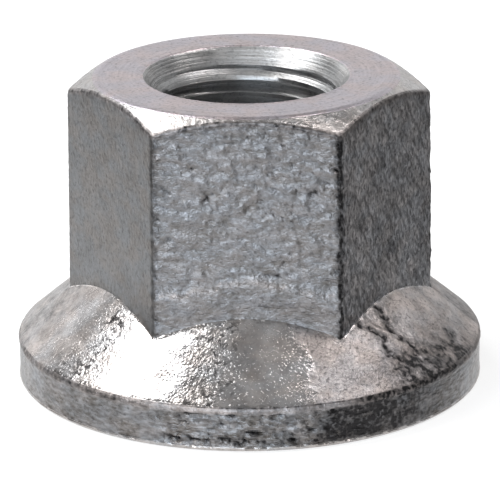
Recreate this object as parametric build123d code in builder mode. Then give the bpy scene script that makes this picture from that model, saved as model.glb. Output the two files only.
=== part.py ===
from build123d import *
import os
from math import cos, radians, sin, tan

os.makedirs("parts", exist_ok=True)

# A tall hexagon nut forged in one piece with a coned flange. It is tapped right through, and its
# bearing face carries a ring of ratchet serrations that slide as the nut is tightened and bite when
# it is turned back. Millimetres. +Z runs up the thread axis from the centre of the bearing face,
# which lies on z = 0, and two flats of the hexagon face +Y and -Y.

# --- Hexagon --------------------------------------------------------------------------------------
hexagon_sides = 6
across_flats = 27.0  # halfway up the nut
nut_height = 26.5
hexagon_draft = 0.5  # degrees on each flat: the forging is wider towards the flange
corner_radius = 0.65  # round on the six upright edges
chamfer_inset = 0.6  # from the flats in to the edge of the turned top face
chamfer_angle = 30.0  # degrees below the top face
top_edge_radius = 0.25  # where the chamfer turns over into the top face

# --- Flange ---------------------------------------------------------------------------------------
flange_diameter = 40.0
rim_height = 3.4  # upright wall of the rim, up to its shoulder
shoulder_radius = 0.65
cone_angle = 40.0  # degrees above the bearing face
bearing_edge_radius = 0.4

# --- Thread, modelled as its tapping bore ---------------------------------------------------------
thread_diameter = 16.0
thread_pitch = 1.5
minor_diameter_factor = 1.0825  # pitches that an ISO metric thread takes off its diameter
countersink_angle = 66.0  # included
countersink_overlap = 0.75  # how far the countersink's mouth reaches outside the thread

# --- Serrations on the bearing face ---------------------------------------------------------------
serration_count = 36
serration_depth = 0.5  # at the outer end: a tooth gets shallower and narrower towards the bore
serration_margin = 1.4  # plain band between the teeth and the rim's outer wall
land_share = 0.25  # flat crest of each tooth, as a share of its pitch
steep_share = 0.12  # locking side of each groove, as a share of the groove's width
relief_diameter = 22.0  # recess that the teeth open into at their inner ends
relief_depth = 0.55

# --- Worked out from the values above -------------------------------------------------------------
flange_radius = flange_diameter / 2
bore_radius = (thread_diameter - minor_diameter_factor * thread_pitch) / 2
mouth_radius = thread_diameter / 2 + countersink_overlap
countersink_depth = (mouth_radius - bore_radius) / tan(radians(countersink_angle / 2))
relief_radius = relief_diameter / 2

hexagon_base = rim_height  # the prism starts inside the flange
base_apothem = across_flats / 2 + (nut_height / 2 - hexagon_base) * tan(radians(hexagon_draft))
top_apothem = across_flats / 2 - nut_height / 2 * tan(radians(hexagon_draft))
top_face_radius = top_apothem - chamfer_inset
chamfer_reach = base_apothem / cos(radians(180 / hexagon_sides))  # past the corners of the hexagon
chamfer_drop = (chamfer_reach - top_face_radius) * tan(radians(chamfer_angle))

# The shoulder is an arc from the rim's wall to the cone, tangent to both.
shoulder_radial = flange_radius - shoulder_radius * (1 - sin(radians(cone_angle)))
shoulder_top = rim_height + shoulder_radius * cos(radians(cone_angle))
cone_top = shoulder_top + (shoulder_radial - bore_radius) * tan(radians(cone_angle))

groove_angle = 360 / serration_count * (1 - land_share)
serration_radius = flange_radius - serration_margin

# One groove of the bearing face. Its section shrinks in step with the radius, so its flat sides and
# the crests it leaves all point at the thread axis. It starts under the bore, runs out past the rim
# and is cut off round at the serrations' outer radius.
with BuildPart() as serration_groove:
    for radius in (bore_radius, flange_radius):
        width = radius * tan(radians(groove_angle))
        depth = serration_depth * radius / serration_radius
        with BuildSketch(Plane.YZ.offset(radius)):
            with BuildLine():
                Polyline(
                    (0, -depth),
                    (0, 0),
                    (width * steep_share, depth),
                    (width, 0),
                    (width, -depth),
                    close=True,
                )
            make_face()
    loft(ruled=True)
    Cylinder(serration_radius, nut_height, mode=Mode.INTERSECT)

with BuildPart() as flange_nut:
    # Coned flange: rim, rounded shoulder and cone, turned about the thread axis.
    with BuildSketch(Plane.XZ):
        with BuildLine():
            bearing = Line((0, 0), (flange_radius - bearing_edge_radius, 0))
            bearing_edge = RadiusArc(
                bearing @ 1, (flange_radius, bearing_edge_radius), -bearing_edge_radius
            )
            rim = Line(bearing_edge @ 1, (flange_radius, rim_height))
            shoulder = RadiusArc(rim @ 1, (shoulder_radial, shoulder_top), -shoulder_radius)
            cone = Line(shoulder @ 1, (bore_radius, cone_top))
            Polyline(cone @ 1, (0, cone_top), (0, 0))
        make_face()
    revolve(axis=Axis.Z)

    # Hexagon, drafted as it leaves the die, with rounded corners.
    with BuildSketch(Plane.XY.offset(hexagon_base)) as hexagon:
        RegularPolygon(base_apothem, hexagon_sides, major_radius=False)
        fillet(hexagon.vertices(), corner_radius)
    extrude(amount=nut_height - hexagon_base, taper=hexagon_draft)

    # Turned chamfer that takes off the hexagon's top corners.
    with BuildSketch(Plane.XZ):
        with BuildLine():
            Polyline(
                (top_face_radius, nut_height),
                (chamfer_reach, nut_height - chamfer_drop),
                (chamfer_reach, nut_height),
                close=True,
            )
        make_face()
    revolve(axis=Axis.Z, mode=Mode.SUBTRACT)
    fillet(edges().filter_by(GeomType.CIRCLE).sort_by(Axis.Z)[-1], top_edge_radius)

    # Tapping bore with a countersink at each end, and the recess inside the serrations.
    with BuildSketch(Plane.XZ):
        with BuildLine():
            Polyline(
                (0, 0),
                (relief_radius, 0),
                (relief_radius, relief_depth),
                (mouth_radius, relief_depth),
                (bore_radius, relief_depth + countersink_depth),
                (bore_radius, nut_height - countersink_depth),
                (mouth_radius, nut_height),
                (0, nut_height),
                close=True,
            )
        make_face()
    revolve(axis=Axis.Z, mode=Mode.SUBTRACT)

    with PolarLocations(0, serration_count):
        add(serration_groove.part, mode=Mode.SUBTRACT)

flange_nut.part.label = "flange_nut"
export_step(flange_nut.part, "parts/flange_nut.step")
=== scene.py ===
import math

import bpy
import numpy as np
from mathutils import Matrix, Vector, noise


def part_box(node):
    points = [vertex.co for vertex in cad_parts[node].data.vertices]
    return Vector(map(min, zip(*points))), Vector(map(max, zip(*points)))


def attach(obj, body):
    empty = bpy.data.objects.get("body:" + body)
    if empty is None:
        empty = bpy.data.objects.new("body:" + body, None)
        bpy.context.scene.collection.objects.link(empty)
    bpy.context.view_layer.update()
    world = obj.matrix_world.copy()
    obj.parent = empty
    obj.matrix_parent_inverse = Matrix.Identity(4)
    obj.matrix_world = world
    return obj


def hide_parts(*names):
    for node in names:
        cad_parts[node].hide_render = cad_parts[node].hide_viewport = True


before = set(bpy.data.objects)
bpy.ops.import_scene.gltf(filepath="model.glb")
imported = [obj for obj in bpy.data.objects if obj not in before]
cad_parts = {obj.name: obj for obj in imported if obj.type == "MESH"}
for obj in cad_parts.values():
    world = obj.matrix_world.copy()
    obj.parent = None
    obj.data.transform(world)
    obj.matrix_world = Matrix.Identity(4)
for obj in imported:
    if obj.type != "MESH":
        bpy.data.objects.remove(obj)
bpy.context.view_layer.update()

# The nut's shape, in millimetres, as the CAD model has it. +Z is the thread axis.
MM = 0.001
node_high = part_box("flange_nut")[1]
nut_height = node_high.z / MM
flange_radius = node_high.x / MM
across_flats = 27.0
hexagon_draft = math.radians(0.5)
corner_radius = 0.65
chamfer_inset = 0.6
chamfer_angle = math.radians(30)
rim_height = 3.4
shoulder_radius = 0.65
cone_angle = math.radians(40)
bearing_edge_radius = 0.4
thread_pitch = 1.5
thread_radius = 8.0
minor_radius = 7.188
mouth_radius = 8.75
countersink_angle = math.radians(33)  # between its wall and the thread axis
serration_count = 36
serration_depth = 0.5
serration_radius = 18.6
land_share = 0.25
steep_share = 0.12
relief_radius = 11.0
relief_depth = 0.55

# What a forging and a lathe leave: hexagon, turned top and thread each sit a little off the flange's axis.
flange_centre = np.zeros(2)
hexagon_centre = np.array([0.083, 0.225])
turned_centre = np.array([-0.103, 0.131])
thread_centre = np.array([0.05, 0.13])
surface_allowance = 0.05  # room for roughness inside the CAD model's box

# Small forms that the CAD model leaves out, or has as plain rounds and upright walls.
burr_profile = [(0.0, -0.06), (0.05, -0.01), (0.13, 0.02), (0.24, 0.01), (0.38, 0.0)]  # outwards, upwards
top_edge_reach = 0.3  # how far a round reaches to each side of its edge
chamfer_edge_reach = 0.22
cone_edge_reach = 0.07
wall_lean = 0.05  # of the serrations' outer wall and of the recess wall

# The thread's form, and how deep its first whole crest lies at the back of the bore.
crest_half = thread_pitch / 8
root_half = thread_pitch / 16
crest_depth = 2.5

# How finely the surface is laid out: more columns on the three sides towards the camera.
SIDES = 6
flat_columns = [34, 34, 34, 102, 102, 102]
corner_columns = 6
bore_columns = 120
tooth_columns = 8
flank_steps = 3
# Rows from one edge to the next.
ROWS = {"top": 12, "edge": 5, "chamfer": 9, "flat": 76, "cone_edge": 3, "cone": 32, "shoulder": 6, "rim": 13,
        "foot": 6, "plain_band": 3, "teeth": 8}

# Regions of the surface. Each has its own roughness and finish.
FLAT, EDGE, CHAMFER, TOP, BURR, CONE, SHOULDER, RIM, FOOT, BEARING, BORE = range(11)

top = nut_height - surface_allowance
mouth_top = top + burr_profile[0][1]
rim_radius = flange_radius - surface_allowance
shoulder_radial = flange_radius - shoulder_radius * (1 - math.sin(cone_angle))
shoulder_top = rim_height + shoulder_radius * math.cos(cone_angle)


# ---------------------------------------------------------------------------------------------
# Rows of points. A row has one point a column, and columns run anticlockwise from +X.

def polar(points, centre):
    """Radius and unwrapped angle of each point about a centre."""
    offset = points - centre
    angle = np.unwrap(np.arctan2(offset[:, 1], offset[:, 0]))
    return np.hypot(offset[:, 0], offset[:, 1]), angle


def ring(radius, angle, z, centre=flange_centre):
    """A row of points round a centre. Radius and z may vary with the column."""
    x = centre[0] + radius * np.cos(angle)
    y = centre[1] + radius * np.sin(angle)
    return np.column_stack([x, y, np.broadcast_to(z, x.shape)])


def flat_distance(z):
    """How far the hexagon's flats stand from its axis at height z."""
    return across_flats / 2 + (nut_height / 2 - z) * math.tan(hexagon_draft)


def hexagon_directions():
    """Column angles round the hexagon: evenly spaced along each flat, closer round each corner."""
    apothem = across_flats / 2
    half_flat = (apothem - corner_radius) * math.tan(math.pi / SIDES)
    corner_distance = (apothem - corner_radius) / math.cos(math.pi / SIDES)
    directions = []
    for side, columns in enumerate(flat_columns):
        middle = math.pi / SIDES + side * 2 * math.pi / SIDES
        for column in range(columns + corner_columns):
            step = column - corner_columns / 2
            if 0 <= step <= columns:
                lateral = half_flat * (2 * step / columns - 1)
                directions.append(middle + math.atan2(lateral, apothem))
                continue
            # Round the corner, where the outline turns by 60 degrees.
            near_end = -1 if step < 0 else 1
            past = abs(step) if step < 0 else step - columns
            turned = past * (2 * math.pi / SIDES) / corner_columns
            corner = near_end * math.pi / SIDES
            x = corner_distance * math.cos(corner) + corner_radius * math.cos(near_end * turned)
            y = corner_distance * math.sin(corner) + corner_radius * math.sin(near_end * turned)
            directions.append(middle + math.atan2(y, x))
    return np.array(directions)


def hexagon_row(directions, z):
    """A row on the rounded hexagon, in the column directions. Z varies with the column."""
    apothem = flat_distance(z)
    half = math.pi / SIDES
    off_middle = np.abs((directions % (2 * half)) - half)
    along_flat = apothem * np.tan(off_middle)
    half_flat = (apothem - corner_radius) * math.tan(half)
    flat = apothem / np.cos(off_middle)
    centre_distance = (apothem - corner_radius) / math.cos(half)
    off_corner = half - off_middle
    inside = np.maximum(corner_radius**2 - (centre_distance * np.sin(off_corner)) ** 2, 0)
    rounded = centre_distance * np.cos(off_corner) + np.sqrt(inside)
    radius = np.where(along_flat <= half_flat, flat, rounded)
    return ring(radius, directions, z, hexagon_centre)


def chamfer_height(radius):
    """Height of the chamfer at a radius about the turned centre."""
    return top - (radius - top_face_radius) * math.tan(chamfer_angle)


def cone_height(radius):
    """Height of the cone at a radius about the flange's axis."""
    return shoulder_top + (shoulder_radial - surface_allowance - radius) * math.tan(cone_angle)


def meet(directions, start_z, centre, turned_height, passes=6):
    """The row where the hexagon meets a surface turned about a centre, closing in on its height."""
    z = np.full(len(directions), start_z)
    for _ in range(passes):
        row = hexagon_row(directions, z)
        z = turned_height(polar(row[:, :2], centre)[0])
    row[:, 2] = z
    return row


def blended_rows(start, end, steps, centre):
    """Rows between two rows of points, blended in radius and angle about a centre."""
    r0, a0 = polar(start[:, :2], centre)
    r1, a1 = polar(end[:, :2], centre)
    a1 += 2 * math.pi * np.round((a0 - a1) / (2 * math.pi))
    return [ring(r0 + (r1 - r0) * t, a0 + (a1 - a0) * t,
                 start[:, 2] + (end[:, 2] - start[:, 2]) * t, centre) for t in steps]


def rounded_corner(before, corner, after, reach, rows):
    """Rows that take a corner between two surfaces round, reach either side of it, column by column."""
    def toward(target):
        gap = target - corner
        return corner + gap * (reach / np.linalg.norm(gap, axis=1))[:, None]
    first, last = toward(before), toward(after)
    return [first * (1 - t) ** 2 + corner * 2 * t * (1 - t) + last * t**2 for t in np.linspace(0, 1, rows)]


def flange_angles():
    """Column angles of the flange: as many as the hexagon has, evenly spaced within each side."""
    spans = []
    for side, columns in enumerate(flat_columns):
        start = side * 2 * math.pi / SIDES
        end = start + 2 * math.pi / SIDES
        spans.append(np.linspace(start, end, columns + corner_columns, endpoint=False))
    return np.concatenate(spans)


def serration_angles():
    """Column angles on the bearing face, with a column on every edge of every tooth."""
    pitch = 2 * math.pi / serration_count
    groove = pitch * (1 - land_share)
    deep = math.atan(steep_share * math.tan(groove))
    land_columns = round(tooth_columns * land_share)
    ramp_columns = tooth_columns - land_columns - 1
    one = [0.0] + list(np.linspace(deep, groove, ramp_columns + 1))
    one += list(np.linspace(groove, pitch, land_columns + 1)[1:-1])
    return np.concatenate([np.array(one) + tooth * pitch for tooth in range(serration_count)])


def serration_height(radius, angles):
    """How far the bearing face is cut back at each column."""
    pitch = 2 * math.pi / serration_count
    groove = pitch * (1 - land_share)
    within = np.tan(np.minimum(angles % pitch, groove)) / math.tan(groove)
    steep = within / steep_share
    ramp = (1 - within) / (1 - steep_share)
    return serration_depth * radius / serration_radius * np.clip(np.minimum(steep, ramp), 0, 1)


def thread_section():
    """Heights over one pitch from the middle of a crest, and the bore's radius at each."""
    flank = np.linspace(0, 1, flank_steps + 1)
    down = crest_half + flank * (thread_pitch / 2 - root_half - crest_half)
    radii = minor_radius + flank * (thread_radius - minor_radius)
    return np.concatenate([down, thread_pitch - down[::-1]]), np.concatenate([radii, radii[::-1]])


def bore_radius(angle, z, thread):
    """Radius of the bore about the thread's axis: the thread, or a countersink where that is wider."""
    direction = np.array([math.cos(angle), math.sin(angle)])
    aside = float(np.dot(turned_centre - thread_centre, direction))
    upper = mouth_radius - (mouth_top - z) * math.tan(countersink_angle) + aside
    lower = mouth_radius - (z - relief_depth) * math.tan(countersink_angle)
    return max(thread, upper, lower)


top_face_radius = flat_distance(nut_height) - chamfer_inset
even_angles = flange_angles()
bore_angles = np.arange(bore_columns) * 2 * math.pi / bore_columns


# ---------------------------------------------------------------------------------------------
# The nut as one closed surface.

class Surface:
    """Collects rows of points and the bands of faces between them."""

    def __init__(self):
        self.points = []
        self.regions = []
        self.faces = []
        self.face_regions = []

    def add_row(self, row, region):
        first = len(self.points)
        self.points.extend(row.tolist())
        self.regions.extend([region] * len(row))
        return list(range(first, first + len(row)))

    def add_face(self, corners, region):
        kept = [c for i, c in enumerate(corners) if c != corners[i - 1]]
        if len(kept) > 2:
            self.faces.append(kept)
            self.face_regions.append(region)

    def band(self, upper, lower, region):
        """Quads between two rows with as many columns."""
        for j, (a, b) in enumerate(zip(upper, lower)):
            k = (j + 1) % len(upper)
            self.add_face((a, b, lower[k], upper[k]), region)

    def add_bands(self, upper, rows, region):
        """Adds rows one after another, each joined to the last by a band. Returns the last one."""
        for row in rows:
            lower = self.add_row(row, region)
            self.band(upper, lower, region)
            upper = lower
        return upper

    def stitch(self, upper, upper_angles, lower, lower_angles, region):
        """Triangles between two rows that start at the same angle but have different columns."""
        above = [*upper_angles[1:], upper_angles[0] + 2 * math.pi]
        below = [*lower_angles[1:], lower_angles[0] + 2 * math.pi]
        i = j = 0
        while i < len(upper) or j < len(lower):
            if j == len(lower) or (i < len(upper) and above[i] <= below[j]):
                corners = (upper[i], lower[j % len(lower)], upper[(i + 1) % len(upper)])
                i += 1
            else:
                corners = (upper[i % len(upper)], lower[j], lower[(j + 1) % len(lower)])
                j += 1
            self.add_face(corners, region)


def between(count):
    """Shares of the way from one edge to the next, without the two ends."""
    return np.linspace(0, 1, count)[1:-1]


def top_to_cone(inner_edge):
    """Rows of the top face, chamfer, flats and cone. They meet along curves, each slightly rounded."""
    directions = hexagon_directions()
    outer_edge = ring(top_face_radius, directions, top, turned_centre)
    chamfer_edge = meet(directions, nut_height - 1, turned_centre, chamfer_height)
    cone_edge = meet(directions, rim_height + 4, flange_centre, cone_height)
    below_chamfer = hexagon_row(directions, chamfer_edge[:, 2] - 1)
    above_cone = hexagon_row(directions, cone_edge[:, 2] + 1)
    shoulder = ring(shoulder_radial - surface_allowance, even_angles, shoulder_top)
    cone_start = blended_rows(cone_edge, shoulder, [0.02], flange_centre)[0]

    face_rows = blended_rows(inner_edge, outer_edge, between(ROWS["top"]), turned_centre)
    top_round = rounded_corner(face_rows[-1], outer_edge, chamfer_edge, top_edge_reach, ROWS["edge"])
    chamfer_round = rounded_corner(outer_edge, chamfer_edge, below_chamfer, chamfer_edge_reach, ROWS["edge"])
    cone_round = rounded_corner(above_cone, cone_edge, cone_start, cone_edge_reach, ROWS["cone_edge"])
    chamfer_rows = blended_rows(top_round[-1], chamfer_round[0], between(ROWS["chamfer"]), turned_centre)
    flat_top, flat_foot = chamfer_round[-1][:, 2], cone_round[0][:, 2]
    flat_rows = [hexagon_row(directions, flat_top * (1 - t) + flat_foot * t) for t in between(ROWS["flat"])]
    cone_rows = blended_rows(cone_round[-1], shoulder, np.linspace(0, 1, ROWS["cone"])[1:], flange_centre)
    return [(face_rows, TOP), (top_round, TOP), (chamfer_rows, CHAMFER), (chamfer_round, EDGE),
            (flat_rows, FLAT), (cone_round, FLAT), (cone_rows, CONE)]


def shoulder_to_foot():
    """Rows of the rounded shoulder, the rim's upright wall and the round at its foot."""
    shoulder_rows = []
    for angle in np.linspace(math.pi / 2 - cone_angle, 0, ROWS["shoulder"])[1:]:
        radius = rim_radius - shoulder_radius * (1 - math.cos(angle))
        shoulder_rows.append(ring(radius, even_angles, rim_height + shoulder_radius * math.sin(angle)))
    rim_rows = [ring(rim_radius, even_angles, z)
                for z in np.linspace(rim_height, bearing_edge_radius, ROWS["rim"])[1:]]
    foot_rows = []
    for angle in np.linspace(0, math.pi / 2, ROWS["foot"])[1:]:
        radius = rim_radius - bearing_edge_radius * (1 - math.cos(angle))
        foot_rows.append(ring(radius, even_angles, bearing_edge_radius * (1 - math.sin(angle))))
    return [(shoulder_rows, SHOULDER), (rim_rows, RIM), (foot_rows, FOOT)]


def bearing_rows(angles):
    """Rows of the bearing face, going inwards: a plain band, the ratchet teeth and the recess. The
    first one keeps clear of the foot's round, and the last one of the countersink."""
    outer_gap, recess_step, inner_gap = 0.3, 0.4, 0.5
    outer_radius = rim_radius - bearing_edge_radius - outer_gap
    band_radii = np.linspace(outer_radius, serration_radius, ROWS["plain_band"])
    tooth_radii = np.linspace(serration_radius - wall_lean, relief_radius, ROWS["teeth"])
    recess_radii = (relief_radius - wall_lean, relief_radius - recess_step, mouth_radius + inner_gap)
    rows = [ring(radius, angles, 0.0) for radius in band_radii]
    rows += [ring(radius, angles, serration_height(radius, angles)) for radius in tooth_radii]
    return rows + [ring(radius, angles, relief_depth) for radius in recess_radii]


def add_bore(surface, upper_mouth, lower_mouth):
    """The tapped bore. Its rows climb with the thread, so that they follow crests and roots, and
    where one comes within snap of a mouth, it runs into it."""
    section_heights, section_radii = thread_section()
    climb = len(section_heights)
    snap = 0.06
    first_crest = nut_height - crest_depth
    lowest_turn = math.floor((relief_depth - first_crest) / thread_pitch) - 2
    highest_turn = math.ceil((mouth_top - first_crest) / thread_pitch) + 2
    turns = range(lowest_turn, highest_turn + 1)
    heights = np.concatenate([first_crest + turn * thread_pitch + section_heights for turn in turns])
    radii = np.tile(section_radii, len(turns))
    index = np.empty((len(heights), bore_columns + 1), int)
    for column in range(bore_columns + 1):
        angle = column * 2 * math.pi / bore_columns
        wrapped = column % bore_columns
        for row, thread in enumerate(radii):
            height = heights[row] + thread_pitch * (angle - math.pi / 2) / (2 * math.pi)
            if height <= relief_depth + snap:
                index[row, column] = lower_mouth[wrapped]
            elif height >= mouth_top - snap:
                index[row, column] = upper_mouth[wrapped]
            elif column == bore_columns:
                index[row, column] = index[row + climb, 0]
            else:
                point = ring(bore_radius(angle, height, thread), np.array([angle]), height, thread_centre)
                index[row, column] = surface.add_row(point, BORE)[0]
    for row in range(len(heights) - 1):
        for column in range(bore_columns):
            surface.add_face((index[row, column], index[row + 1, column],
                              index[row + 1, column + 1], index[row, column + 1]), BORE)


def build_surface():
    """The whole nut, from the countersink's burred mouth out and down to the foot, in along the
    bearing face and up the bore."""
    surface = Surface()
    mouth, *burr_rows = [(mouth_radius + out, top + up) for out, up in burr_profile]
    burr_rows = [ring(radius, even_angles, z, turned_centre) for radius, z in burr_rows]
    upper_mouth = surface.add_row(ring(mouth[0], bore_angles, mouth[1], turned_centre), BURR)
    last = surface.add_row(burr_rows[0], BURR)
    surface.stitch(upper_mouth, bore_angles, last, even_angles, BURR)
    last = surface.add_bands(last, burr_rows[1:], BURR)
    for rows, region in top_to_cone(burr_rows[-1]) + shoulder_to_foot():
        last = surface.add_bands(last, rows, region)

    tooth_angles = serration_angles()
    outermost, *inner_rows = bearing_rows(tooth_angles)
    first_bearing = surface.add_row(outermost, BEARING)
    surface.stitch(last, even_angles, first_bearing, tooth_angles, BEARING)
    last = surface.add_bands(first_bearing, inner_rows, BEARING)
    lower_mouth = surface.add_row(ring(mouth_radius, bore_angles, relief_depth), BORE)
    surface.stitch(last, tooth_angles, lower_mouth, bore_angles, BEARING)
    add_bore(surface, upper_mouth, lower_mouth)
    return surface


surface = build_surface()
points = np.array(surface.points)
mesh = bpy.data.meshes.new("nut_body")
mesh.from_pydata((points * MM).tolist(), [], surface.faces)
mesh.polygons.foreach_set("use_smooth", [True] * len(mesh.polygons))
mesh.update()
nut = bpy.data.objects.new("nut_body", mesh)
bpy.context.scene.collection.objects.link(nut)


# ---------------------------------------------------------------------------------------------
# Roughness of the forging that is large enough to be shape. Each relief function gives how far a
# point stands out of its surface, in millimetres. Angles are in degrees, anticlockwise from +X, so
# the front is at -90.

FRONT = 4  # the side of the hexagon towards the camera, counted anticlockwise from +X
side_finish = ["fibrous", "leathery", "smooth", "smooth", "leathery", "fibrous"]

# Slits in the front flat: start and end as (lateral, height), and width.
FRONT_SLITS = [((1.2, 12.95), (2.6, 12.85), 0.19), ((3.2, 12.95), (4.0, 13.25), 0.18),
               ((-4.7, 19.6), (-3.4, 19.5), 0.2), ((-3.4, 19.5), (-2.5, 20.3), 0.2),
               ((-6.6, 16.1), (-6.1, 16.1), 0.18), ((-3.6, 13.5), (-3.1, 13.3), 0.18),
               ((-4.9, 12.7), (-4.5, 12.6), 0.18), ((5.2, 19.9), (5.6, 20.0), 0.18)]
slit_depth = 0.15
ledge_low = 10.9  # height of the front flat's ledge at its ends
ledge_rise = 1.25  # how much higher its middle is

# Cracks in the cone: angles at their top and bottom, and depth.
CRACKS = [(-51.7, -46.0, 0.16), (-40.6, -37.4, 0.14)]
crack_top_radius = 12.9
crack_run = 5.0
crack_half_width = 0.2


def fractal(x, y, z, octaves=3):
    """Repeatable noise, about -1 to 1."""
    return noise.fractal(Vector((x, y, z)), 0.8, 2.0, octaves)


def smooth_step(low, high, value):
    """0 at low, 1 at high, held beyond them."""
    t = min(max((value - low) / (high - low), 0), 1)
    return t * t * (3 - 2 * t)


def window(rise_from, rise_to, fall_from, fall_to, value):
    """0, rising to 1 and falling back to 0."""
    return smooth_step(rise_from, rise_to, value) * (1 - smooth_step(fall_from, fall_to, value))


def hump(value, width):
    """1 at 0, fading to either side."""
    return math.exp(-((value / width) ** 2))


def angle_round(x, y, centre=flange_centre):
    """Angle of a place about a centre, from -180 to 180 degrees."""
    return math.degrees(math.atan2(y - centre[1], x - centre[0]))


def front_angle(angle):
    """An angle along the front half. The whole back half counts as the front's left end."""
    return angle if angle < 0 else -180


def side_of(x, y):
    """Which side of the hexagon a place is on."""
    return int(angle_round(x, y, hexagon_centre) % 360 // 60)


def slit(x, y, start, end, width):
    """1 along the line from start to end, fading to 0 at its width."""
    along = Vector(end) - Vector(start)
    gap = Vector((x, y)) - Vector(start)
    t = min(max(gap.dot(along) / along.length_squared, 0), 1)
    return hump((gap - along * t).length, width)


def creases(x, y, z, width):
    """1 along short wiggly lines, 0 elsewhere."""
    kept = smooth_step(0.05, 0.3, fractal(x / 2.2 + 9, y / 2.2, z, 2))
    return hump(fractal(x, y, z, 3), width) * kept


def above_ledge(lateral, z):
    """Height over the ledge that runs across the front flat, low at its ends."""
    ledge = ledge_low + ledge_rise * hump(lateral - 0.3, 4) + 0.35 * fractal(lateral / 1.2, 3, 0)
    return z - ledge


def leathery_relief(side, lateral, z):
    """A flat that was pressed against the die: leathery, calmer towards the flange."""
    seed = 17.0 * side
    rough = 0.4 + 0.45 * smooth_step(9, 16, z) + 0.2 * smooth_step(16, 19, z)
    bend = 1.1 * fractal(lateral / 2.2, z / 2.2, seed + 9, 2)
    relief = 0.2 * fractal(lateral / 1.0 + bend, z / 0.6 - bend, seed, 4) * rough
    relief += 0.1 * fractal(lateral / 3, z / 1.5, seed + 5, 2)
    relief -= 0.1 * creases(lateral / 1.6 + bend, z / 0.8 - bend, seed + 2, 0.08) * rough
    if side == FRONT:
        relief -= slit_depth * sum(slit(lateral, z, *line) for line in FRONT_SLITS)
        over = above_ledge(lateral, z)
        relief *= 1 - 0.6 * hump(over - 0.35, 0.5)
        relief += 0.26 * (1 - smooth_step(0, 0.8, over)) * smooth_step(-3, 0, over)
    return relief


def fibrous_relief(side, lateral, z):
    """A flat that was scraped along the die: fibrous, running up and to the right."""
    seed = 17.0 * side
    along, aside = z - 0.6 * lateral, lateral + 0.6 * z
    relief = 0.09 * fractal(aside / 0.8, along / 2.4, seed)
    return relief + 0.03 * fractal(lateral / 0.5, z / 0.5, seed)


def smooth_relief(side, lateral, z):
    """A flat that left the die clean."""
    seed = 17.0 * side
    return 0.01 * fractal(lateral / 0.8, z / 3, seed) + 0.012 * fractal(lateral / 2, z / 2, seed)


SIDE_RELIEF = {"leathery": leathery_relief, "fibrous": fibrous_relief, "smooth": smooth_relief}


def hexagon_relief(x, y, z):
    """A flat's relief, and nicks along its upright edges."""
    side = side_of(x, y)
    middle = math.radians(30 + 60 * side)
    lateral = (y - hexagon_centre[1]) * math.cos(middle) - (x - hexagon_centre[0]) * math.sin(middle)
    half_side = angle_round(x, y, hexagon_centre) % 360 // 30
    nicks = smooth_step(6.8, 7.5, abs(lateral)) * 0.14 * fractal(z / 0.4, half_side, 3, 3)
    nicks *= 1 if side == FRONT else 0.15
    return SIDE_RELIEF[side_finish[side]](side, lateral, z) + nicks


def crack_at(x, y):
    """How deep the cone's two cracks are at a place, and how far their torn lips stand up."""
    radius = math.hypot(x, y)
    angle = angle_round(x, y)
    run = (radius - crack_top_radius) / crack_run
    ends = window(12.6, 13.6, 17.6, 18.8, radius)
    depth = lips = 0.0
    for top_angle, bottom_angle, deepest in CRACKS:
        middle = top_angle + (bottom_angle - top_angle) * run
        off = radius * math.radians(angle - middle) + 0.9 * fractal(radius / 1.1, top_angle, 0, 4)
        depth += deepest * hump(off, crack_half_width) * ends
        lips += 0.4 * deepest * hump(off - 0.5, 0.3) * ends
    return depth, lips


def torn_at(x, y, z):
    """1 between the two cracks, where the cone's skin is torn."""
    radius = math.hypot(x, y)
    angle = angle_round(x, y)
    run = (radius - crack_top_radius) / crack_run
    left = -52.5 + 6 * run + 2.5 * fractal(x / 1.2, y / 1.2, z)
    right = -38 + 4 * run + 2.5 * fractal(x / 1.2 + 7, y / 1.2, z)
    inside = window(left - 1, left + 1, right - 1, right + 1, angle)
    return inside * (1 - smooth_step(17.4, 18.8, radius))


def cone_relief(x, y, z):
    """Faint dents, the two cracks and the torn skin between them."""
    depth, lips = crack_at(x, y)
    dents = 0.02 * fractal(x / 1.6, y / 1.6, z / 1.6)
    return dents - depth + lips + torn_at(x, y, z) * 0.1 * fractal(x / 0.5, y / 0.5, z / 0.5)


def rim_roughness(x, y, angle):
    """How wrinkled the rim is: most at the front, slightly in patches elsewhere."""
    patch = 0.25 + 0.75 * smooth_step(-0.1, 0.25, fractal(x / 14 + 3, y / 14, 0, 2))
    return max(window(-118, -104, -70, -52, angle), 0.15 * patch)


def rim_pits(x, y, z, angle):
    """1 in the pits along the lower part of the rim, where it is wrinkled."""
    around = flange_radius * math.radians(angle)
    pits = smooth_step(0.02, 0.35, fractal(around / 0.9, z / 0.42, 60, 3))
    return pits * hump(z - 0.95, 0.42) * rim_roughness(x, y, angle)


def rim_relief(x, y, z):
    """Wrinkles and pits, kept inside the CAD model's box and fading out at the foot."""
    angle = angle_round(x, y)
    around = flange_radius * math.radians(angle)
    rough = rim_roughness(x, y, angle)
    relief = 0.24 * rough * fractal(around / 1.1, z / 0.5, 40, 3)
    relief -= 0.1 * rough * creases(around / 2.2, z / 0.8, 80, 0.1)
    relief -= 0.2 * rim_pits(x, y, z, angle) + 0.09
    return min(relief, 0.03) * smooth_step(0.0, 0.5, z)


def even_relief(depth, size, offset=0.0):
    """A relief that is the same all over its region."""
    return lambda x, y, z: depth * fractal(x / size, y / size, z / size) + offset


def foot_relief(x, y, z):
    return 0.02 * fractal(x / 0.5, y / 0.5, z / 0.5) * smooth_step(0.0, 0.2, z)


def shoulder_relief(x, y, z):
    return 0.03 * fractal(x / 0.7, y / 0.7, z / 0.5) - 0.02


def burr_relief(x, y, z):
    return 0.03 * fractal(x / 0.4, y / 0.4, 0, 2) - 0.01


def bearing_relief(x, y, z):
    return 0.008 * fractal(x / 0.7, y / 0.7, 0)


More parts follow.
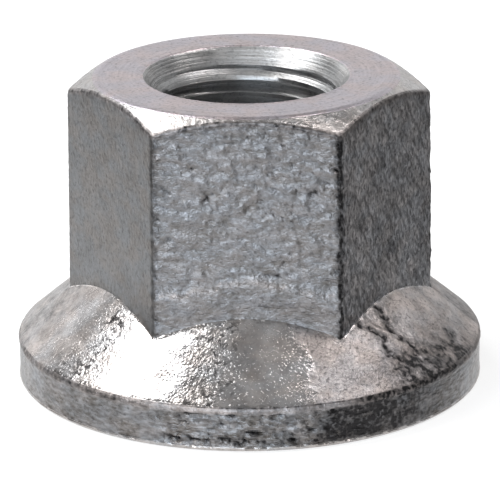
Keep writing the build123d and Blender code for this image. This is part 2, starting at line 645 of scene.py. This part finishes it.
RELIEF = {FLAT: hexagon_relief, CONE: cone_relief, SHOULDER: shoulder_relief, RIM: rim_relief,
          FOOT: foot_relief, EDGE: even_relief(0.025, 0.5, -0.01), CHAMFER: even_relief(0.02, 0.7),
          BURR: burr_relief, BEARING: bearing_relief}


# ---------------------------------------------------------------------------------------------
# Where the plating differs, and where shade and a highlight are painted, as values from 0 to 1 on each point,
# which the materials read.

def flat_soot_and_shade(x, y, z, relief):
    """Along the upright edges, where it is painted shade that is stronger on the right front, in the scrapes
    of the right side, under the chamfer, and in hollows, where it is painted shade.
    """
    across = angle_round(x, y, hexagon_centre)
    off_edge = abs((across + 30) % 60 - 30)
    # Painted shade along the rounded upright edges, stronger towards the right front.
    edge = 1 - smooth_step(0.3, 1.9, off_edge + 1.3 * fractal(z / 0.5, x / 0.5, y / 0.5, 3))
    edge *= 0.9 if x > 0 and -90 < across < 30 else 0.55
    scraped = 0.0
    if abs(across) < 60 and x > 8:
        along, aside = z - 0.6 * y, y + 0.6 * z
        scraped = 0.5 * smooth_step(0, 0.35, fractal(aside / 0.45, along / 3, 5, 3))
    below_chamfer = chamfer_height(math.hypot(x - turned_centre[0], y - turned_centre[1])) - z
    brow = 0.35 * (1 - smooth_step(0.2, 0.9, below_chamfer + 0.7 * fractal(x / 0.6, y / 0.6, z / 0.6)))
    # Painted shade in the relief's hollows and slits.
    painted_hollow_shade = 0.75 * smooth_step(0.1, 0.22, -relief)
    return max(edge, scraped, brow, painted_hollow_shade)


def edge_soot(x, y, z, relief):
    """Along the chamfer's lower edge."""
    radius = math.hypot(x - turned_centre[0], y - turned_centre[1])
    lower = smooth_step(0.3, 0.45, radius - top_face_radius)
    return max(0, lower * (0.6 + 0.25 * fractal(x / 0.5, y / 0.5, z / 0.5)))


def cone_soot_and_shade(x, y, z, relief):
    """In the cracks, where it is painted shade, and the torn skin, along the cone's lower right, at its left
    end and faintly along its lower left."""
    radius = math.hypot(x, y)
    angle = angle_round(x, y)
    around = radius * math.radians(angle)
    streak = smooth_step(-0.15, 0.3, fractal(radius / 1.6, around / 0.4, 0, 3))
    foot = smooth_step(16.6, 18.4, radius + fractal(x / 1.5, y / 1.5, z / 1.5))
    foot *= window(-58, -44, -22, -8, angle)
    foot *= 0.75 + 0.7 * fractal(x / 0.7, y / 0.7, z / 0.7, 4)
    end = 0.55 * (1 - smooth_step(-170, -157, front_angle(angle)))
    cloud = fractal(x / 0.8, y / 0.8, z / 0.8, 4)
    end *= 0.75 + 0.6 * cloud
    brim = 0.22 * smooth_step(18.5, 19.6, radius + 0.9 * cloud)
    brim *= (1 - smooth_step(-112, -104, angle)) * (angle < 0)
    # Painted shade in the cracks, darkest where they are deepest.
    return min(1, max(11 * crack_at(x, y)[0] + 0.4 * torn_at(x, y, z) * streak, foot, end, brim))


def shoulder_soot_and_shade(x, y, z, relief):
    """Most on the right, and as a line above the front. Over the front it is also painted shade that damps
    the front lamp's highlight.
    """
    angle = angle_round(x, y)
    right = window(-66, -58, -35, -10, angle)
    # Painted shade over the front, which damps the front lamp's highlight.
    front = window(-118, -108, -66, -58, angle)
    left = 1 - smooth_step(-122, -112, front_angle(angle))
    line = smooth_step(shoulder_top - 0.2, shoulder_top - 0.08, z)
    plain = 0.35 * (1 - front) + 0.2 * left + 0.5 * right + front * (0.3 + 0.5 * line)
    return max(0, plain + 0.3 * fractal(x / 0.8, y / 0.8, z / 0.4))


def rim_soot_and_shade(x, y, z, relief):
    """A patch right of the front, which is a painted reflection of shade, mottling, hollows and pits, which
    are painted shade, and the far left end. Less of it just above the foot.
    """
    angle = angle_round(x, y)
    # Painted reflection of shade: a dark patch right of the front.
    dark = smooth_step(-77, -69, angle + 4 * fractal(x, y, z)) * (1 - smooth_step(-56, -20, angle))
    dark *= 0.95 + 0.35 * fractal(x / 1.2, y / 1.2, z / 0.6)
    mottle = 0.2 * smooth_step(-0.1, 0.5, fractal(x / 1.1, y / 1.1, z / 0.8, 4))
    painted_hollow_shade = 0.9 * smooth_step(0.15, 0.28, -relief)
    far_left = 0.6 * (1 - smooth_step(-172, -160, front_angle(angle)))
    above_foot = 0.4 + 0.6 * smooth_step(0.4, 0.7, z)
    # Painted shade in the hollows and pits.
    return min(1, (max(dark, mottle, painted_hollow_shade, far_left) + 0.9 * rim_pits(x, y, z, angle)) * above_foot)


SOOT_AND_SHADE = {FLAT: flat_soot_and_shade, EDGE: edge_soot, CONE: cone_soot_and_shade, SHOULDER: shoulder_soot_and_shade, RIM: rim_soot_and_shade}


def soot_and_shade_at(point, region, relief):
    """How black the surface is, from dark plating and from painted shade."""
    return SOOT_AND_SHADE[region](*point, relief) if region in SOOT_AND_SHADE else 0.0


def scarred_at(point, region):
    """How scarred the plating is: on the cone, either side of its brightest streak, and on the rim."""
    x, y, z = point
    angle = angle_round(x, y)
    if region == CONE:
        angle += 6 * fractal(x / 1.8, y / 1.8, z / 1.8, 3)
        return min(1, 0.95 * hump(angle + 136, 5) + 0.75 * hump(angle + 100, 7))
    if region == RIM:
        return 0.55 * rim_roughness(x, y, angle)
    return 0.0


def dull_and_ledge_highlight_at(point, region):
    """How pale and dull the plating is: on the chamfer's lower edge, the shoulder, the cone's right side and
    left end, and in places along the ledge of the front flat, where the pale colour is a painted highlight."""
    x, y, z = point
    if region in (SHOULDER, EDGE):
        return 1.0
    # Along the front flat's ledge the pale colour is a painted highlight of the light from above.
    if region == FLAT and y < -10 and abs(x) < 7.3:
        broken = 0.55 + 0.9 * fractal(x / 0.9, z / 0.9, 21, 3)
        return min(1, max(0, hump(above_ledge(x, z) - 0.3, 0.2) * broken))
    if region != CONE:
        return 0.0
    angle = angle_round(x, y)
    wander = 5 * fractal(x / 2, y / 2, z / 2, 4)
    if -90 < angle < 90:
        return smooth_step(-76, -71, angle + wander)
    return 0.7 * (1 - smooth_step(-165, -150, (angle + wander) % 360 - 360))


def paint(name, values):
    """Stores a value for each point of the nut."""
    mesh.attributes.new(name, "FLOAT", "POINT").data.foreach_set("value", values)


normals = np.empty(len(points) * 3)
mesh.vertices.foreach_get("normal", normals)
relief = np.array([RELIEF[region](*point) if region in RELIEF else 0.0
                   for point, region in zip(points.tolist(), surface.regions)])
points = points + normals.reshape(-1, 3) * relief[:, None]
points[:, 2] = np.clip(points[:, 2], 0, nut_height)
mesh.vertices.foreach_set("co", (points * MM).ravel())
places = list(zip(points.tolist(), surface.regions))
paint("soot_and_shade", [soot_and_shade_at(*place, height) for place, height in zip(places, relief.tolist())])
paint("scarred", [scarred_at(*place) for place in places])
paint("dull_and_ledge_highlight", [dull_and_ledge_highlight_at(*place) for place in places])
mesh.update()

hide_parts("flange_nut")
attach(nut, "root")


# ---------------------------------------------------------------------------------------------
# Finishes. All are one zinc plating on steel, over whatever made each surface.

WARM = (1.0, 0.96, 0.94, 1)
COOL = (0.93, 0.96, 1.0, 1)
# Black for dark plating and for painted shade.
SOOT_AND_SHADE_BLACK = (0.03, 0.029, 0.03, 1)
# Colours of dull plating, and of the painted highlight along the front flat's ledge.
DULL_AND_HIGHLIGHT_DARK = (0.28, 0.262, 0.255, 1)
DULL_AND_HIGHLIGHT_LIGHT = (0.6, 0.555, 0.54, 1)
dull_roughness = 0.42
dull_strength = 1.5  # of the bump, where the plating is dull
dull_specks = 0.5


def add_node(tree, kind, inputs, **settings):
    """A node with its settings, and with each input linked if it is given a socket, or set if not."""
    node = tree.nodes.new(kind)
    for name, value in settings.items():
        setattr(node, name, value)
    for name, value in inputs.items():
        if isinstance(value, bpy.types.NodeSocket):
            tree.links.new(value, node.inputs[name])
        else:
            node.inputs[name].default_value = value
    return node


def math_node(tree, operation, first, second=0.0):
    return add_node(tree, "ShaderNodeMath", {0: first, 1: second}, operation=operation).outputs[0]


def vector_node(tree, operation, inputs, output=0):
    return add_node(tree, "ShaderNodeVectorMath", inputs, operation=operation).outputs[output]


def millimetres(tree):
    """Place on the nut, in millimetres."""
    place = add_node(tree, "ShaderNodeTexCoord", {}).outputs["Object"]
    return vector_node(tree, "SCALE", {0: place, "Scale": 1 / MM})


def painted(tree, name):
    """A value stored on the nut's points."""
    return add_node(tree, "ShaderNodeAttribute", {}, attribute_name=name).outputs["Fac"]


def grain(tree, place, size, detail=2.0, swirl=0.0):
    """Noise whose features are about size millimetres along x, y and z."""
    scale = tuple(1 / s for s in size)
    moved = add_node(tree, "ShaderNodeMapping", {"Vector": place, "Scale": scale}).outputs[0]
    return add_node(tree, "ShaderNodeTexNoise",
                    {"Vector": moved, "Scale": 1.0, "Detail": detail, "Distortion": swirl}).outputs["Fac"]


def even_grain(tree, place, size, detail):
    """The same, with features of one size in all directions."""
    return grain(tree, place, (size, size, size), detail)


def span(tree, value, low, high, to_low=0.0, to_high=1.0):
    """Maps low..high to to_low..to_high, held at the ends."""
    return add_node(tree, "ShaderNodeMapRange", {"Value": value, "From Min": low, "From Max": high,
                                                 "To Min": to_low, "To Max": to_high}).outputs[0]


def blend(tree, factor, first, second, blend_type="MIX"):
    """A colour between two, or the first multiplied by the second."""
    inputs = {0: factor, 6: first, 7: second}
    return add_node(tree, "ShaderNodeMix", inputs, data_type="RGBA", blend_type=blend_type).outputs[2]


def tool_marks(tree, place, gap):
    """Height of fine rings left by a tool, gap millimetres apart and broken up along their length."""
    flat = vector_node(tree, "MULTIPLY", {0: place, 1: (1, 1, 0)})
    offset = vector_node(tree, "SUBTRACT", {0: flat, 1: (*turned_centre, 0)})
    radius = vector_node(tree, "LENGTH", {0: offset}, "Value")
    turns = math_node(tree, "MULTIPLY", radius, 1 / gap)
    step = add_node(tree, "ShaderNodeCombineXYZ", {0: turns}).outputs[0]
    slow = vector_node(tree, "SCALE", {0: place, "Scale": 0.12})
    moved = vector_node(tree, "ADD", {0: step, 1: slow})
    return add_node(tree, "ShaderNodeTexNoise", {"Vector": moved, "Scale": 1.0, "Detail": 2.0}).outputs["Fac"]


def surface_height(tree, place, grains, pimples, lines, line_depth):
    """The bump's height in metres: grains, scattered grit and tool marks."""
    height = None
    for x, y, z, depth, detail, swirl in grains:
        one = math_node(tree, "MULTIPLY", grain(tree, place, (x, y, z), detail, swirl), depth * MM)
        height = one if height is None else math_node(tree, "ADD", height, one)
    if pimples:
        grit = span(tree, even_grain(tree, place, 0.2, 1), 0.6, 0.72, 0, pimples * MM)
        height = math_node(tree, "ADD", height, grit)
    if lines:
        rings = math_node(tree, "MULTIPLY", tool_marks(tree, place, lines), line_depth * MM)
        height = math_node(tree, "ADD", height, rings)
    return height


def blackness(tree, place, dull_and_ledge_highlight, scarred, specks):
    """How black the plating is: soot and painted shade with a crisp grain, fine specks and blots on scars."""
    speck = span(tree, even_grain(tree, place, 0.3, 4.0), 0.54, 0.66)
    fine = math_node(tree, "MULTIPLY", speck, span(tree, dull_and_ledge_highlight, 0, 1, specks, dull_specks))
    blots = span(tree, even_grain(tree, place, 0.6, 5.0), 0.52, 0.58)
    blots = math_node(tree, "MULTIPLY", blots, scarred)
    crisp = span(tree, even_grain(tree, place, 0.35, 5.0), 0.35, 0.62, 0.7, 1.3)
    soot_and_shade = math_node(tree, "MULTIPLY", painted(tree, "soot_and_shade"), crisp)
    soot_and_shade = math_node(tree, "MINIMUM", soot_and_shade, 1)
    return math_node(tree, "MAXIMUM", math_node(tree, "MAXIMUM", soot_and_shade, fine), blots)


def plated(name, dark, light, roughness, grains, patch=0.45, specks=0.0, tint=0.0, lines=0.0,
           line_depth=0.012, pimples=0.0, calm=1.0):
    """One finish. Its colour runs from dark in hollows to light on heights, which is painted shade in the
    bump's hollows and a painted highlight on its heights, or by patches as far as patch says, with a warm and
    cool tint. Its bump is summed from grains of (size x, y and z, depth, detail, swirl), grit as high as
    pimples and tool marks with a gap of lines, all in millimetres, and calm is the bump's strength where the
    plating is neither dull nor scarred."""
    material = bpy.data.materials.new(name)
    material.use_nodes = True
    tree = material.node_tree
    shader = tree.nodes["Principled BSDF"]
    place = millimetres(tree)
    dull_and_ledge_highlight = painted(tree, "dull_and_ledge_highlight")
    scarred = painted(tree, "scarred")

    height = surface_height(tree, place, grains, pimples, lines, line_depth)
    strength = span(tree, dull_and_ledge_highlight, 0, 1, calm, dull_strength)
    strength = math_node(tree, "ADD", strength, math_node(tree, "MULTIPLY", scarred, 0.7))
    bump = add_node(tree, "ShaderNodeBump", {"Height": height, "Distance": 1.0, "Strength": strength})
    tree.links.new(bump.outputs[0], shader.inputs["Normal"])

    patches = grain(tree, place, (2.4, 2.4, 2.4), 4.0)
    total = sum(depth for _, _, _, depth, _, _ in grains) + (line_depth if lines else 0)
    # Painted shade in the bump's hollows and a painted highlight on its heights.
    painted_relief_shade = span(tree, math_node(tree, "DIVIDE", height, total * MM), 0.35, 0.65)
    painted_relief_shade = math_node(tree, "MULTIPLY", painted_relief_shade, 1 - patch)
    patchy = math_node(tree, "MULTIPLY", span(tree, patches, 0.4, 0.6), patch)
    relief_shade_and_patches = math_node(tree, "ADD", painted_relief_shade, patchy)
    plating = blend(tree, relief_shade_and_patches, (*dark, 1), (*light, 1))
    plating = blend(tree, dull_and_ledge_highlight, plating, blend(tree, relief_shade_and_patches, DULL_AND_HIGHLIGHT_DARK, DULL_AND_HIGHLIGHT_LIGHT))
    tone = blend(tree, span(tree, grain(tree, place, (2.6, 2.6, 1.6), 3.0), 0.4, 0.6), WARM, COOL)
    plating = blend(tree, tint, plating, tone, "MULTIPLY")
    black = blackness(tree, place, dull_and_ledge_highlight, scarred, specks)
    tree.links.new(blend(tree, black, plating, SOOT_AND_SHADE_BLACK), shader.inputs["Base Color"])

    polish = span(tree, patches, 0.3, 0.7, roughness - 0.05, roughness + 0.05)
    rougher = math_node(tree, "MULTIPLY", dull_and_ledge_highlight, max(dull_roughness - roughness, 0))
    tree.links.new(math_node(tree, "ADD", polish, rougher), shader.inputs["Roughness"])
    shader.inputs["Metallic"].default_value = 1.0
    return material


# dark and light are colours of patches, and also of painted shade in hollows and a painted highlight on
# heights.
FINISHES = {
    "leathery": dict(dark=(0.2, 0.19, 0.18), light=(0.385, 0.385, 0.4), roughness=0.38, patch=0.15,
                     grains=[(0.42, 0.42, 0.26, 0.11, 5, 0.7), (1.3, 1.3, 0.6, 0.13, 3, 0.3)],
                     specks=0.3, tint=0.6),
    "smooth": dict(dark=(0.17, 0.165, 0.16), light=(0.265, 0.265, 0.265), roughness=0.42, patch=0.5,
                   grains=[(0.3, 0.3, 0.45, 0.08, 4, 0)], specks=0.4, tint=1.0),
    "fibrous": dict(dark=(0.13, 0.127, 0.13), light=(0.60, 0.59, 0.60), roughness=0.32, patch=0.2,
                    grains=[(0.26, 0.26, 0.5, 0.2, 3, 0.4)], specks=0.6, tint=0.7),
    "chamfer": dict(dark=(0.40, 0.38, 0.37), light=(0.56, 0.54, 0.53), roughness=0.28, patch=0.3,
                    grains=[(0.45, 0.45, 0.45, 0.055, 4, 0)], specks=0.3, tint=0.6),
    "turned": dict(dark=(0.47, 0.425, 0.445), light=(0.65, 0.59, 0.615), roughness=0.34, patch=0.35,
                   grains=[(0.2, 0.2, 0.2, 0.025, 3, 0)], specks=0.35, tint=1.0, lines=0.2,
                   line_depth=0.04),
    "cone": dict(dark=(0.36, 0.34, 0.33), light=(0.60, 0.58, 0.57), roughness=0.1, patch=0.6,
                 grains=[(0.24, 0.24, 0.24, 0.04, 4, 0), (0.8, 0.8, 0.8, 0.06, 2, 0)], specks=0.1,
                 tint=0.8, pimples=0.02, calm=0.45),
    "rim": dict(dark=(0.12, 0.11, 0.10), light=(0.36, 0.36, 0.37), roughness=0.28, patch=0.4,
                grains=[(0.7, 0.7, 0.26, 0.22, 4, 0)], specks=0.4, tint=0.8, calm=0.35),
    "bearing": dict(dark=(0.34, 0.33, 0.33), light=(0.46, 0.45, 0.45), roughness=0.36,
                    grains=[(0.3, 0.3, 0.3, 0.012, 2, 0)]),
    "bore": dict(dark=(0.31, 0.31, 0.31), light=(0.55, 0.55, 0.55), roughness=0.34, patch=0.3,
                 grains=[(0.3, 0.3, 0.15, 0.02, 3, 0)], specks=0.3, tint=0.3, lines=0.12,
                 line_depth=0.045),
}
REGION_FINISH = {EDGE: "chamfer", CHAMFER: "chamfer", TOP: "turned", BURR: "turned", CONE: "cone",
                 SHOULDER: "cone", RIM: "rim", FOOT: "chamfer", BEARING: "bearing", BORE: "bore"}

slots = {}
for key, settings in FINISHES.items():
    slots[key] = len(mesh.materials)
    mesh.materials.append(plated("zinc_" + key, **settings))
for face, region in zip(mesh.polygons, surface.face_regions):
    centre = face.center / MM
    finish = side_finish[side_of(centre.x, centre.y)] if region == FLAT else REGION_FINISH[region]
    face.material_index = slots[finish]
mesh.set_sharp_from_angle(angle=math.radians(50))
mesh.update()

# ---------------------------------------------------------------------------------------------
# Camera, where the photographer had it, turned a little to frame the nut as the photograph does.
focal_pixels = 3839.0
picture_pixels = 500
aim_below_pixels = 28.6
camera_distance = 329.05
camera_elevation = math.radians(18.347)
camera_azimuth = math.radians(1.072)
camera_roll = math.radians(0.475)

target = Vector((hexagon_centre[0], hexagon_centre[1], nut_height / 2))
back = Vector((math.sin(camera_azimuth) * math.cos(camera_elevation),
               -math.cos(camera_azimuth) * math.cos(camera_elevation), math.sin(camera_elevation)))
right = Vector((math.cos(camera_azimuth), math.sin(camera_azimuth), 0))
up = back.cross(right)
camera_place = (target + back * camera_distance) * MM
tilt = aim_below_pixels / focal_pixels
back, up = (back + up * tilt).normalized(), (up - back * tilt).normalized()
right, up = (right * math.cos(camera_roll) - up * math.sin(camera_roll),
             right * math.sin(camera_roll) + up * math.cos(camera_roll))
camera = bpy.data.objects.new("camera", bpy.data.cameras.new("camera"))
camera.data.lens = focal_pixels * camera.data.sensor_width / picture_pixels
camera.data.clip_start = 0.01
camera.matrix_world = Matrix.Translation(camera_place) @ Matrix((right, up, back)).transposed().to_4x4()
bpy.context.scene.collection.objects.link(camera)
bpy.context.scene.camera = camera

# ---------------------------------------------------------------------------------------------
# Studio: a pale floor and soft lamps.
FLOOR_PALE = (0.42, 0.42, 0.42, 1)
FLOOR_GREY = (0.3, 0.3, 0.3, 1)
WORLD_GREY = (0.34, 0.34, 0.34, 1)
floor_glow = 0.68


def white_area(tree):
    """1 on the part of the floor that the nut's reflections see as white, falling off round it. The
    polished cone takes its contrast from where this ends. Distances are in millimetres."""
    place = add_node(tree, "ShaderNodeSeparateXYZ", {0: millimetres(tree)})
    x, y = place.outputs["X"], place.outputs["Y"]
    beside = math_node(tree, "SUBTRACT", x, math_node(tree, "MULTIPLY", y, 0.065))
    right_side = span(tree, beside, 21.5, 30, 1, 0)
    left_side = span(tree, x, -130, -50, 0.3, 1)
    outside = math_node(tree, "SUBTRACT", math_node(tree, "ABSOLUTE", x), 20)
    outside = math_node(tree, "MAXIMUM", outside, 0)
    forward = math_node(tree, "SUBTRACT", y, math_node(tree, "MULTIPLY", outside, 0.8))
    front = span(tree, forward, -56, -34, 0.2, 1)
    return math_node(tree, "MULTIPLY", right_side, math_node(tree, "MULTIPLY", left_side, front))


def pale_floor():
    """A floor that the camera sees as white all over, and that keeps the nut's shadow."""
    bpy.ops.mesh.primitive_plane_add(size=1.6, location=(0, 0, 0))
    floor = bpy.context.object
    floor.name = "floor"
    material = bpy.data.materials.new("pale_floor")
    material.use_nodes = True
    tree = material.node_tree
    tree.nodes.clear()
    rays = add_node(tree, "ShaderNodeLightPath", {}).outputs
    seen = math_node(tree, "MAXIMUM", rays["Is Camera Ray"], rays["Is Glossy Ray"])
    seen = math_node(tree, "MAXIMUM", seen, rays["Is Transmission Ray"])
    shown_white = math_node(tree, "MAXIMUM", white_area(tree), rays["Is Camera Ray"])
    glow = math_node(tree, "MULTIPLY", math_node(tree, "MULTIPLY", seen, shown_white), floor_glow)
    colour = blend(tree, shown_white, FLOOR_GREY, FLOOR_PALE)
    diffuse = add_node(tree, "ShaderNodeBsdfDiffuse", {"Color": colour}).outputs[0]
    emission = add_node(tree, "ShaderNodeEmission", {"Strength": glow}).outputs[0]
    both = add_node(tree, "ShaderNodeAddShader", {0: diffuse, 1: emission}).outputs[0]
    add_node(tree, "ShaderNodeOutputMaterial", {"Surface": both})
    floor.data.materials.append(material)


def softbox(name, direction, distance, width, height, radiance, colour=(1, 1, 1)):
    """A rectangular lamp that faces the nut, with its distance and size in metres. A radiance of 1
    is as bright as a white surface in full light."""
    light = bpy.data.lights.new(name, "AREA")
    light.shape = "RECTANGLE"
    light.size, light.size_y = width, height
    light.energy = radiance * math.pi * width * height
    light.color = colour
    lamp = bpy.data.objects.new(name, light)
    lamp.location = Vector(direction).normalized() * distance + Vector((0, 0, nut_height / 2 * MM))
    lamp.rotation_euler = Vector(direction).to_track_quat("Z", "Y").to_euler()
    bpy.context.scene.collection.objects.link(lamp)


pale_floor()
softbox("key", (-0.514, 0.106, 0.851), 0.5, 0.18, 0.22, 8)
softbox("key_back", (-0.41, 0.45, 0.79), 0.5, 0.14, 0.12, 5.5)
softbox("second", (0.5, 0.11, 0.86), 0.5, 0.09, 0.26, 7.2, (1, 0.96, 0.95))
softbox("side", (-0.7, -0.34, 0.63), 0.5, 0.42, 0.16, 4.5)
softbox("overhead", (0.15, -0.7, 0.6), 0.7, 0.6, 0.3, 0.55)
softbox("above", (0, -0.12, 1), 0.6, 0.4, 0.3, 0.16)
softbox("back", (-0.12, 0.95, 0.28), 0.6, 1.2, 0.36, 0.58)
softbox("back_left", (-0.6, 0.65, 0.45), 0.6, 0.3, 0.25, 0.35)
softbox("left_low", (-0.62, 0.78, 0.1), 0.6, 0.3, 0.1, 1.35)
softbox("left_fill", (-0.62, 0.4, 0.67), 0.5, 0.1, 0.14, 1.0)
softbox("back_right", (0.6, 0.6, 0.53), 0.6, 0.3, 0.3, 0.4)
softbox("front", (-0.22, -0.93, 0.29), 0.7, 0.6, 0.4, 2.9, (0.8, 0.9, 1))
world = bpy.data.worlds.new("studio")
bpy.context.scene.world = world
world.use_nodes = True
world.node_tree.nodes["Background"].inputs["Color"].default_value = WORLD_GREY

bpy.context.scene.view_settings.view_transform = "Standard"
